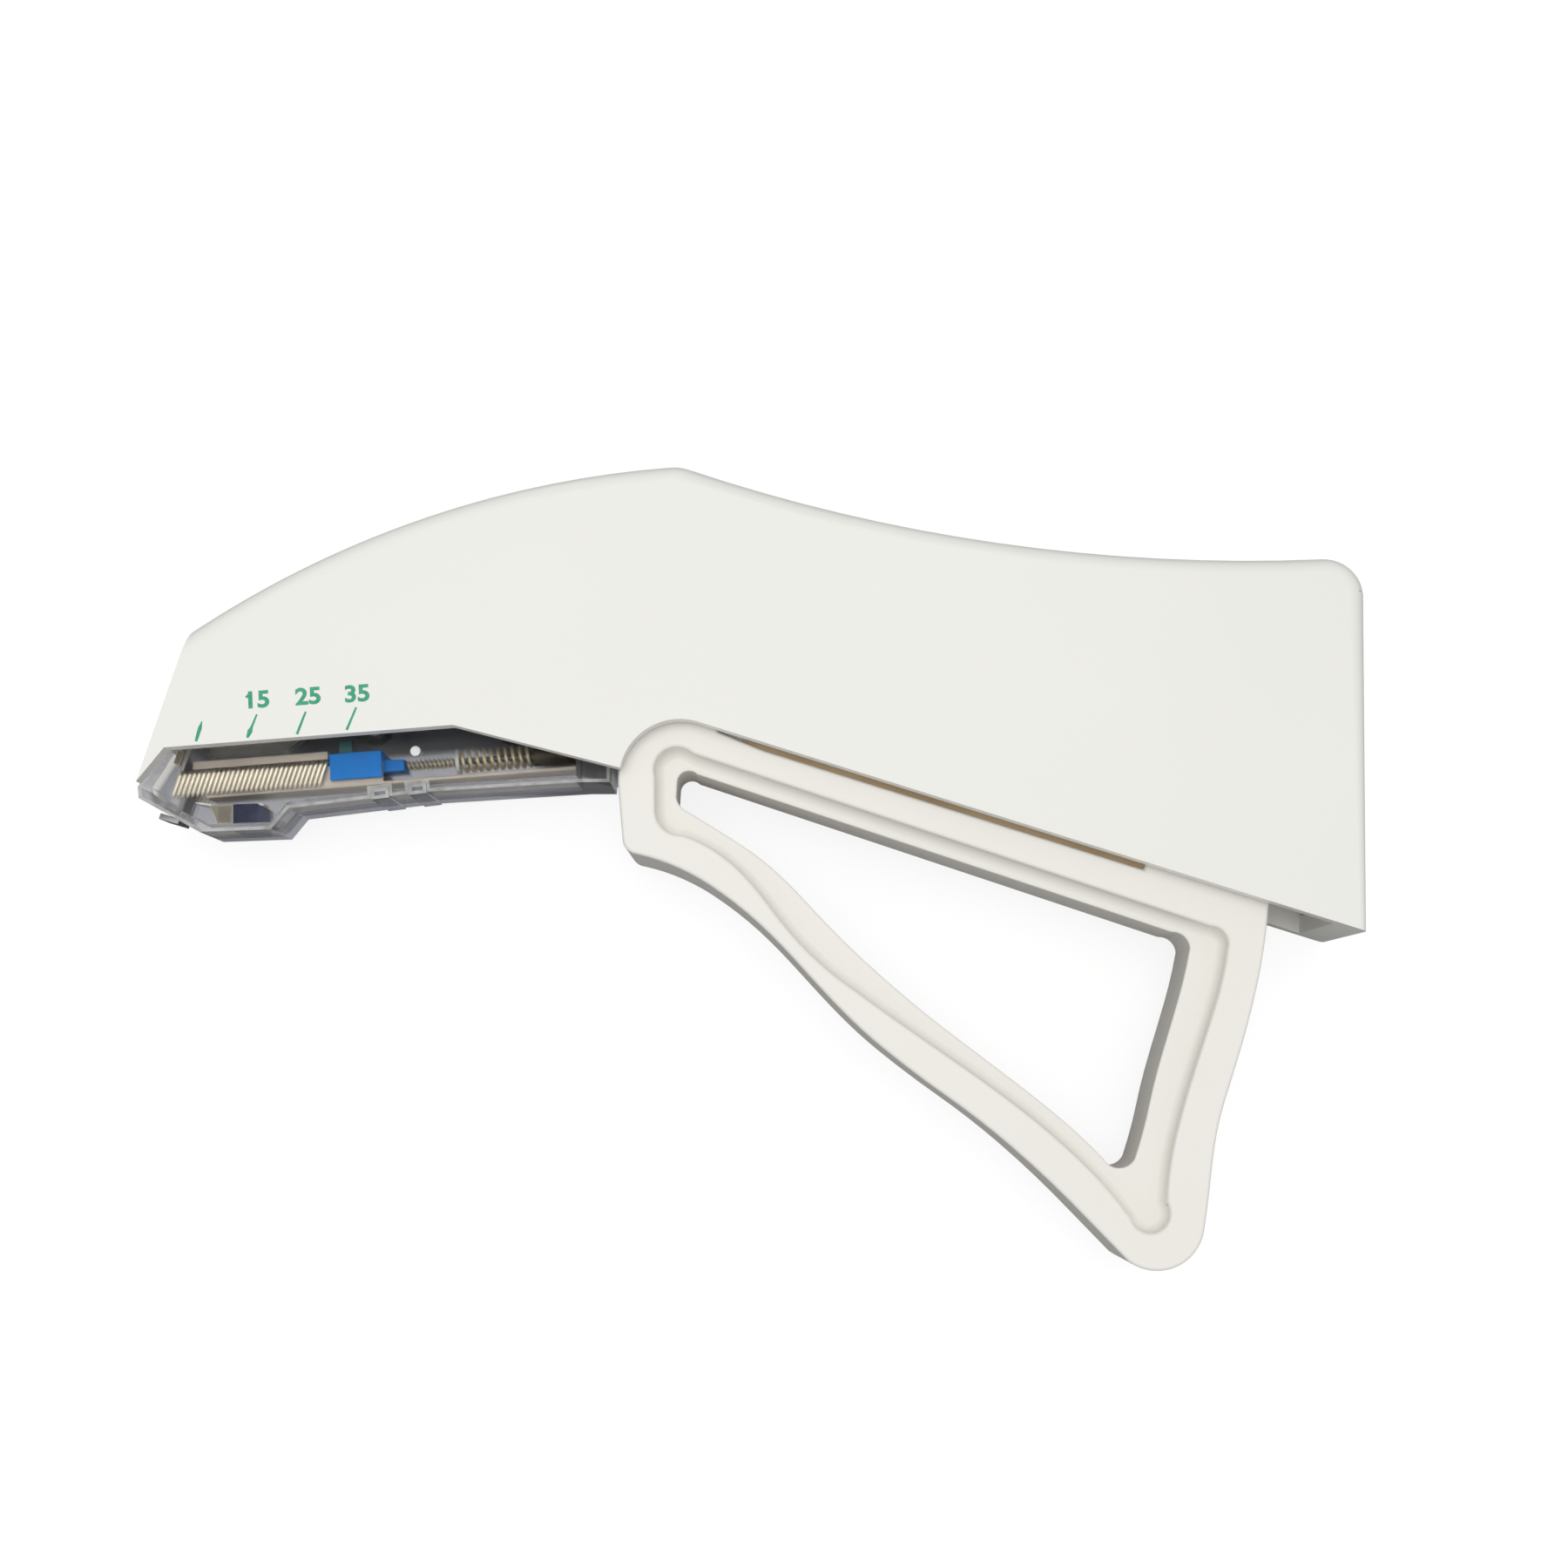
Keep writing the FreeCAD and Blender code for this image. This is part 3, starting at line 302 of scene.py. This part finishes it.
def dress(node, name, material, body, bevels, segments, edgeMaterial=None, reshape=None):
    # a copy of the frame's piece with its sharp edges rounded; bevels gives the width for an edge from its
    # middle in mm and from whether it is hollow, and the widest of all for None
    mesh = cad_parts[node].data.copy()
    mesh.materials.clear()
    mesh.materials.append(material)
    piece = link(bpy.data.objects.new(name, mesh))
    bm = bmesh.new()
    bm.from_mesh(mesh)
    bmesh.ops.remove_doubles(bm, verts=bm.verts, dist=mend["weld"] * mm)
    if reshape:
        reshape(bm)
    bmesh.ops.dissolve_limit(bm, angle_limit=math.radians(mend["flat"]), verts=bm.verts, edges=bm.edges)
    # the pale band of painted highlight along a clear half's outline
    if edgeMaterial:
        paintEdgeHighlight(bm)
    weights = bm.edges.layers.float.new("bevel_weight_edge")
    widest = bevels(None, False)
    for edge in bm.edges:
        sharp = len(edge.link_faces) == 2 and edge.calc_face_angle(0) > math.radians(mend["sharp"])
        if sharp:
            middle = (edge.verts[0].co + edge.verts[1].co) / 2 / mm
            edge[weights] = min(1.0, bevels(middle, not edge.is_convex) / widest)
        edge.smooth = not sharp
    for face in bm.faces:
        face.smooth = True
    bm.to_mesh(mesh)
    bm.free()
    soften = piece.modifiers.new("soften", "BEVEL")
    soften.limit_method = "WEIGHT"
    soften.width = widest * mm
    soften.segments = segments
    soften.use_clamp_overlap = node != "trigger"   # clamped, the recess would have a thinner round
    # the rounded edges get the painted highlight too
    if edgeMaterial:
        mesh.materials.append(edgeMaterial)
        soften.material = 1
    even = piece.modifiers.new("even", "WEIGHTED_NORMAL")
    even.keep_sharp = True
    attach(piece, body)
    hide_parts(node)
    return piece


def evenBevel(width):
    return lambda middle, hollow: width


# mm; corner rounds the edges that stand at the brow and the heel
housing = {"corner": 1.2, "front": 0.6, "lower": 0.35, "parting": 0.12, "near": 0.6, "onFace": 0.01,
           "brow": (-56.1, 4.8), "heel": (79.24, -30.4)}


def housingBevel(middle, hollow):
    # widths for the upright corners, the side edges and the parting line; the palm is rounded already
    if middle is None:
        return housing["corner"]
    flat = middle.xy
    if min((flat - Vector(housing[name])).length for name in ("brow", "heel")) < housing["near"]:
        return housing["corner"]
    if abs(middle.z - midPlane) < housing["onFace"]:
        return housing["parting"]
    if min(middle.z, nearFace - middle.z) < housing["onFace"]:
        return housing["front"] if flat.x < housing["brow"][0] else housing["lower"]
    return 0.0


# top and rear are where the palm and the back end, palm and back the roundings of their edges
rim = {"top": 9.3, "rear": 81.0, "palm": 2.1, "back": 0.8, "near": 0.02}


def taperRim(bm):
    # the rounding of the rear edge grows towards the palm, so that the two meet without a step
    moved = []
    for vert in bm.verts:
        x, y, z = vert.co / mm
        side = 1 if z > midPlane else -1
        reach = (x - rim["rear"]) / rim["back"] + 1
        rise = (abs(z - midPlane) - midPlane) / rim["back"] + 1
        if abs(y - rim["top"]) < rim["near"] and reach > -rim["near"] and rise > -rim["near"]:
            height = midPlane + (rise - 1) * rim["palm"]
            vert.co.x = (rim["rear"] + (reach - 1) * rim["palm"]) * mm
            vert.co.z = (midPlane + side * height) * mm
            moved.append(vert)
    bmesh.ops.remove_doubles(bm, verts=moved, dist=rim["near"] * mm)


for node, name in (("housing_left", "housingLeft"), ("housing_right", "housingRight")):
    dress(node, name, whitePlastic, "stapler", housingBevel, segments=4, reshape=taperRim)

recess = {"floor": 2.7, "fillet": 1.0, "rim": 0.35, "slit": 0.2, "tongue": 5.5, "near": 0.02, "level": 0.9}
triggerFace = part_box("trigger")[1].z / mm


def triggerBevel(middle, hollow):
    # wide hollow round along the recess floor, a small round on every other edge
    if middle is None:
        return recess["fillet"]
    rise = abs(middle.z - midPlane)
    if abs(rise + midPlane - triggerFace + recess["floor"]) < recess["near"]:
        return recess["fillet"] if hollow else recess["slit"]
    if abs(rise - recess["tongue"]) < recess["near"]:
        return recess["slit"]
    return recess["rim"]


def makeTrigger():
    loop = dress("trigger", "triggerLoop", triggerPlastic, "trigger", triggerBevel,
                 segments=4)
    loop.data.materials.append(tongueShadePaint)
    for face in loop.data.polygons:
        # the thin tongue in the gap lies deep in shade; its upper faces get a brown tone that is painted
        # shade
        rise = abs(face.center.z / mm - midPlane)
        if abs(rise - recess["tongue"]) < recess["near"] and abs(face.normal.z) > recess["level"]:
            face.material_index = 1


makeTrigger()

clearEdge = {"band": 0.4, "hole": 1.3, "near": 0.02, "level": 0.99, "rounding": 0.2}


def paintEdgeHighlight(bm):
    # a pale band along the outline of a clear half's outer face: painted highlight for the light caught
    # where its wall is seen edge-on
    reach = max(abs(vert.co.z / mm - midPlane) for vert in bm.verts)
    flat = [face for face in bm.faces if abs(face.normal.z) > clearEdge["level"]
            and abs(abs(face.calc_center_median().z / mm - midPlane) - reach) < clearEdge["near"]]
    made = bmesh.ops.inset_region(bm, faces=flat, thickness=clearEdge["band"] * mm, use_even_offset=True)
    pinHole = middleOf("lock_pin").xy
    for face in made["faces"]:
        if (face.calc_center_median().xy - pinHole).length > clearEdge["hole"] * mm:   # none round the lock pin
            face.material_index = 1


for node, name, material in (("cartridge_left", "cartridgeLeft", clearPlastic),
                             ("cartridge_right", "cartridgeRight", smokePlastic)):
    dress(node, name, material, "stapler", evenBevel(clearEdge["rounding"]), segments=2,
          edgeMaterial=edgeHighlightPaint)

# node, piece, material, slot, body and the width of its rounded edges in mm
plainPieces = [
    ("rocker", "rockerLever", sheetSteel, "steel", "rocker", 0.2),
    ("trigger_pin", "triggerPin", pinSteel, "steel", "stapler", 0.2),
    ("drive_pin", "drivePin", pinSteel, "steel", "trigger", 0.2),
    ("rocker_pin", "rockerPin", pinSteel, "steel", "stapler", 0.2),
    ("former_pin", "formerPin", pinSteel, "steel", "rocker", 0.2),
    ("former_bracket", "formerBracket", sheetSteel, "steel", "former", 0.1),
    ("former_blade", "formerBlade", pinSteel, "steel", "former", 0.05),
    ("staple_rail", "stapleRail", coverSteel, "dark_steel", "stapler", 0.06),
    ("anvil", "anvilPlate", sheetSteel, "steel", "stapler", 0.06),
    ("track_cover", "trackCover", coverSteel, "dark_steel", "stapler", 0.05),
    ("staple_pusher", "staplePusher", bluePlastic, "blue", "slide", 0.1),
    ("spring_washer", "springWasher", trimPlastic, "white_trim", "slide", 0.08),
    ("count_flag", "countFlag", tealPlastic, "teal", "slide", 0.08),
    ("spring_rod", "springRod", sheetSteel, "steel", "stapler", 0.05),
    ("spring_seat", "springSeat", darkPlastic, "dark_plug", "stapler", 0.1),
    ("foot_pad", "footPad", creamPlastic, "cream", "stapler", 0.1),
    ("foot_block", "footBlock", navyPlastic, "navy", "stapler", 0.1),
    ("ejector_spring", "ejectorSpring", pinSteel, "steel", "stapler", 0.04),
    ("nose_guide", "noseGuide", creamPlastic, "cream", "stapler", 0.06),
    ("lock_pin", "lockPin", trimPlastic, "white_trim", "stapler", 0.1),
]
for node, name, material, slot, body, width in plainPieces:
    dress(node, name, material, body, evenBevel(width), segments=2)
print("frame pieces dressed")


def wireRing(bm, radius, sides, place, normal):
    # the edges of a ring of wire section standing at a place, facing along normal
    turn = Vector((0, 0, 1)).rotation_difference(normal).to_matrix().to_4x4()
    made = bmesh.ops.create_circle(bm, cap_ends=False, radius=radius, segments=sides,
                                   matrix=Matrix.Translation(place) @ turn)
    ring = made["verts"]
    return [edge for edge in bm.edges if edge.verts[0] in ring and edge.verts[1] in ring]


def spinOn(bm, edges, centre, axis, angle, steps, climb=(0, 0, 0)):
    # turn the open end of a wire about an axis while it climbs
    made = bmesh.ops.spin(bm, geom=edges, cent=centre, axis=axis, dvec=Vector(climb) / steps, angle=angle,
                          steps=steps, use_duplicate=False)
    return [part for part in made["geom_last"] if isinstance(part, bmesh.types.BMEdge)]


def pullOn(bm, edges, way):
    # pull the open end of a wire straight on
    made = bmesh.ops.extrude_edge_only(bm, edges=edges)
    verts = [part for part in made["geom"] if isinstance(part, bmesh.types.BMVert)]
    bmesh.ops.translate(bm, verts=verts, vec=way)
    return [part for part in made["geom"] if isinstance(part, bmesh.types.BMEdge)
            and part.verts[0] in verts and part.verts[1] in verts]


def drawTo(bm, edges, middle, share):
    # make the open end of a wire thinner or thicker about its middle
    ends = list({vert for edge in edges for vert in edge.verts})
    bmesh.ops.scale(bm, vec=(share, share, share), verts=ends, space=Matrix.Translation(-middle))


def finishWire(bm, name, material, body, node):
    # cap the open ends; only the caps, with their many sides, stay flat
    bmesh.ops.holes_fill(bm, edges=[edge for edge in bm.edges if edge.is_boundary])
    bmesh.ops.recalc_face_normals(bm, faces=bm.faces)
    for face in bm.faces:
        face.smooth = len(face.verts) < 5
    piece = newMesh(name, bm)
    piece.data.materials.append(material)
    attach(piece, body)
    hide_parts(node)


staple = {"wire": 0.5, "width": 6.6, "leg": 3.4, "bend": 0.35, "pitch": 0.573, "sides": 8, "point": 0.5,
          "tip": 0.25, "bendSteps": 4}


def stapleWire(bm, crown):
    # one open staple: leg up, bend, crown across, bend, leg down; crown is the middle of its top wire
    half = staple["width"] / 2 - staple["wire"] / 2
    reach = staple["leg"] - staple["wire"] / 2
    point = down * staple["point"] * mm
    leg = down * (reach - staple["bend"] - staple["point"]) * mm
    across = Vector((0, 0, (staple["width"] - staple["wire"] - 2 * staple["bend"]) * mm))
    foot = crown + down * reach * mm
    farFoot = foot - Vector((0, 0, half * mm))
    nearFoot = foot + Vector((0, 0, half * mm))
    corner = crown + down * staple["bend"] * mm
    inset = Vector((0, 0, (half - staple["bend"]) * mm))
    quarter = math.radians(90)
    edges = wireRing(bm, staple["wire"] / 2 * staple["tip"] * mm, staple["sides"], farFoot, -down)
    edges = pullOn(bm, edges, -point)
    drawTo(bm, edges, farFoot - point, 1 / staple["tip"])
    edges = pullOn(bm, edges, -leg)
    edges = spinOn(bm, edges, corner - inset, back, quarter, staple["bendSteps"])
    edges = pullOn(bm, edges, across)
    edges = spinOn(bm, edges, corner + inset, back, quarter, staple["bendSteps"])
    edges = pullOn(bm, edges, leg)
    edges = pullOn(bm, edges, point)
    drawTo(bm, edges, nearFoot, staple["tip"])


def crownOf(node):
    # middle of the top wire of the front staple in a node, and how many staples it holds, from its box
    low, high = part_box(node)
    oneLow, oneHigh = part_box("first_staple")
    wire = staple["wire"] * mm
    stepX = staple["pitch"] * mm * trackWay.x
    stepY = staple["pitch"] * mm * trackWay.y
    count = round(((high.x - low.x) - (oneHigh.x - oneLow.x)) / stepX) + 1
    front = Vector((high.x - wire * back.x - (count - 1) * stepX, high.y - (count - 1) * stepY,
                    (low.z + high.z) / 2))
    return front + (back + down) * wire / 2, count


def makeStaples():
    for node, name, body in (("first_staple", "firstStaple", "former"),
                             ("staple_stack", "stapleStack", "stapler")):
        crown, count = crownOf(node)
        bm = bmesh.new()
        for step in range(count):
            stapleWire(bm, crown + trackWay * staple["pitch"] * step * mm)
        finishWire(bm, name, stapleSteel, body, node)
        print(name, count)


makeStaples()

closedCoil = {"radius": 0.52, "wire": 0.26, "pitch": 0.52, "sides": 8, "steps": 16}
pusherSpring = {"radius": 1.2, "wire": 0.42, "pitch": 0.86, "sides": 12, "steps": 24}


def makeCoil(name, node, body, coil):
    # a ring of wire screwed along the track, from the front of its node to the rear
    runs = [vert.co.dot(trackWay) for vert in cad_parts[node].data.vertices]
    front = min(runs) + coil["wire"] / 2 * mm
    rear = max(runs) - coil["wire"] / 2 * mm
    start = track["washer"] + trackWay * (front - track["washer"].dot(trackWay))
    turns = (rear - front) / mm / coil["pitch"]
    bm = bmesh.new()
    edges = wireRing(bm, coil["wire"] / 2 * mm, coil["sides"], start + trackUp * coil["radius"] * mm,
                     trackWay.cross(trackUp).normalized())
    spinOn(bm, edges, start, trackWay, turns * 2 * math.pi, round(turns * coil["steps"]),
           trackWay * (rear - front))
    finishWire(bm, name, springSteel, body, node)


makeCoil("closedCoil", "closed_coil", "slide", closedCoil)
makeCoil("pusherSpring", "pusher_spring", "stapler", pusherSpring)

triggerSpring = {"radius": 3.3, "wire": 0.8, "turns": 4, "leg": 9.5, "sides": 12, "steps": 24}


def makeTriggerSpring():
    # torsion spring on the trigger pin; its legs leave the coil's lower side towards the nose and the heel
    low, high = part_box("trigger_spring")
    thick = triggerSpring["wire"] * mm
    leg = Vector((triggerSpring["leg"] * mm, 0, 0))
    rise = Vector((0, 0, high.z - low.z - thick))
    foot = Vector((0, 0, low.z + thick / 2))
    start = foot - leg - Vector((0, triggerSpring["radius"] * mm, 0))
    turns = triggerSpring["turns"]
    bm = bmesh.new()
    edges = wireRing(bm, thick / 2, triggerSpring["sides"], start, Vector((1, 0, 0)))
    edges = pullOn(bm, edges, leg)
    edges = spinOn(bm, edges, foot, Vector((0, 0, 1)), turns * 2 * math.pi,
                   turns * triggerSpring["steps"], rise)
    edges = pullOn(bm, edges, leg)
    finishWire(bm, "triggerSpring", springSteel, "stapler", "trigger_spring")


makeTriggerSpring()
print("springs and staples done")

# Numerals with their middles, and strokes with top, bottom and the width at shares of their length, in mm
printed = {"capHeight": 1.9, "capShare": 0.7, "bold": 0.085, "wider": 1.12, "slope": 4.5,
           "thick": 0.02, "tickThick": 0.014,
           "numbers": [("15", -47.89, -3.73), ("25", -41.97, -3.32), ("35", -36.34, -3.01)],
           "ticks": [((-54.13, -6.18), (-54.72, -8.53), [(0, 0.1), (0.35, 0.46), (0.7, 0.4), (1, 0.3)]),
                     ((-47.83, -5.37), (-48.82, -8.12), [(0, 0.2), (0.55, 0.28), (0.72, 0.6), (1, 0.26)]),
                     ((-42.21, -5.06), (-43.12, -7.71), [(0, 0.24), (1, 0.32)]),
                     ((-36.39, -4.55), (-37.41, -7.20), [(0, 0.24), (1, 0.3)]),
                     ((-48.60, -2.84), (-49.16, -3.40), [(0, 0.34), (1, 0.3)])]}   # the flag of the 1


def makeNumeral(text, x, y):
    # a numeral of ink on the left face, a little wider and bolder than the plain type
    curve = bpy.data.curves.new("countNumber" + text, "FONT")
    curve.body = text
    curve.align_x = "CENTER"
    curve.align_y = "CENTER"
    curve.size = printed["capHeight"] / printed["capShare"] * mm
    curve.offset = printed["bold"] * mm
    curve.extrude = printed["thick"] / 2 * mm
    curve.resolution_u = 4
    draft = link(bpy.data.objects.new("draft", curve))
    bpy.context.view_layer.update()
    mesh = bpy.data.meshes.new_from_object(draft.evaluated_get(bpy.context.evaluated_depsgraph_get()))
    bpy.data.objects.remove(draft)
    turn = Matrix.Rotation(math.radians(printed["slope"]), 4, "Z")
    widen = Matrix.Diagonal((printed["wider"], 1, 1, 1))
    place = Matrix.Translation((x * mm, y * mm, (nearFace + printed["thick"] / 2) * mm))
    mesh.transform(place @ turn @ widen)
    mesh.materials.clear()
    mesh.materials.append(printInk)
    piece = link(bpy.data.objects.new("countNumber" + text, mesh))
    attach(piece, "stapler")


def makeTick(name, top, bottom, widths):
    # a stroke of ink on the left face, with its own width at each share of its length
    bm = bmesh.new()
    head = Vector((*top, nearFace)) * mm
    foot = Vector((*bottom, nearFace)) * mm
    way = foot - head
    side = Vector((-way.y, way.x, 0)).normalized() / 2 * mm
    outline = [head + way * share + side * wide for share, wide in widths]
    outline += [head + way * share - side * wide for share, wide in reversed(widths)]
    face = bm.faces.new([bm.verts.new(place) for place in outline])
    raised = bmesh.ops.extrude_face_region(bm, geom=[face])
    verts = [part for part in raised["geom"] if isinstance(part, bmesh.types.BMVert)]
    bmesh.ops.translate(bm, verts=verts, vec=(0, 0, printed["tickThick"] * mm))
    bmesh.ops.recalc_face_normals(bm, faces=bm.faces)
    piece = newMesh(name, bm)
    piece.data.materials.append(printInk)
    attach(piece, "stapler")


for text, x, y in printed["numbers"]:
    makeNumeral(text, x, y)
for number, (top, bottom, widths) in enumerate(printed["ticks"], 1):
    makeTick("countTick" + str(number), top, bottom, widths)
print("count marks printed")

view = {"place": (13, -46.5, 239), "target": (13, -13.5, 19), "lens": 44.5, "sensor": 36, "near": 10}


def makeCamera():
    data = bpy.data.cameras.new("photoView")
    data.lens = view["lens"]
    data.sensor_width = view["sensor"]
    data.clip_start = view["near"] * mm
    camera = link(bpy.data.objects.new("photoView", data))
    place = Vector(view["place"]) * mm
    camera.location = place
    camera.rotation_euler = (Vector(view["target"]) * mm - place).to_track_quat("-Z", "Y").to_euler()
    bpy.context.scene.camera = camera


keyLight = {"place": (-80, 120, 1300), "target": (10, -10, 0), "size": 900, "power": 5.7}


def makeKeyLight():
    data = bpy.data.lights.new("keyLight", "AREA")
    data.size = keyLight["size"] * mm
    data.energy = keyLight["power"]
    lamp = link(bpy.data.objects.new("keyLight", data))
    place = Vector(keyLight["place"]) * mm
    lamp.location = place
    lamp.rotation_euler = (Vector(keyLight["target"]) * mm - place).to_track_quat("-Z", "Y").to_euler()


backdrop = {"reach": 1500, "tone": 0.2, "roughness": 0.9, "glow": 0.84, "fromSides": 0.42, "fromAbove": 0.8}


def makeFloor():
    # grey to the light that falls on it, but white to the eye, also through the clear halves
    bm = bmesh.new()
    bmesh.ops.create_grid(bm, x_segments=1, y_segments=1, size=backdrop["reach"] * mm)
    floor = newMesh("floor", bm)
    material = bpy.data.materials.new("floorWhite")
    material.use_nodes = True
    tree = material.node_tree
    skin = tree.nodes["Principled BSDF"]
    skin.inputs["Base Color"].default_value = (backdrop["tone"], backdrop["tone"], backdrop["tone"], 1)
    skin.inputs["Roughness"].default_value = backdrop["roughness"]
    skin.inputs["Emission Color"].default_value = (1, 1, 1, 1)
    rays = nodeIn(tree, "ShaderNodeLightPath", (-600, 0))
    seen = nodeIn(tree, "ShaderNodeMath", (-350, 0), operation="MAXIMUM")
    glow = nodeIn(tree, "ShaderNodeMath", (-150, 0), {1: backdrop["glow"]}, operation="MULTIPLY")
    join(tree,
         (rays, "Is Camera Ray", seen, 0),
         (rays, "Is Transmission Ray", seen, 1),
         (seen, "Value", glow, 0),
         (glow, "Value", skin, "Emission Strength"))
    floor.data.materials.append(material)


def makeSky():
    # light from every side, strongest from above; the camera sees plain white
    world = bpy.data.worlds.new("studio")
    world.use_nodes = True
    tree = world.node_tree
    sky = tree.nodes["Background"]
    sky.inputs["Color"].default_value = (1, 1, 1, 1)
    way = nodeIn(tree, "ShaderNodeTexCoord", (-900, 0))
    split = nodeIn(tree, "ShaderNodeSeparateXYZ", (-700, 0))
    slope = nodeIn(tree, "ShaderNodeMapRange", (-450, 0),
                   {"To Min": backdrop["fromSides"], "To Max": backdrop["fromAbove"]})
    rays = nodeIn(tree, "ShaderNodeLightPath", (-450, 300))
    seen = nodeIn(tree, "ShaderNodeMath", (-200, 100), operation="MAXIMUM")
    join(tree,
         (way, "Generated", split, "Vector"),
         (split, "Z", slope, "Value"),
         (rays, "Is Camera Ray", seen, 0),
         (slope, "Result", seen, 1),
         (seen, "Value", sky, "Strength"))
    bpy.context.scene.world = world


makeCamera()
makeFloor()
makeSky()
makeKeyLight()
print("camera, floor and light placed")
bpy.context.scene.view_settings.view_transform = "Standard"
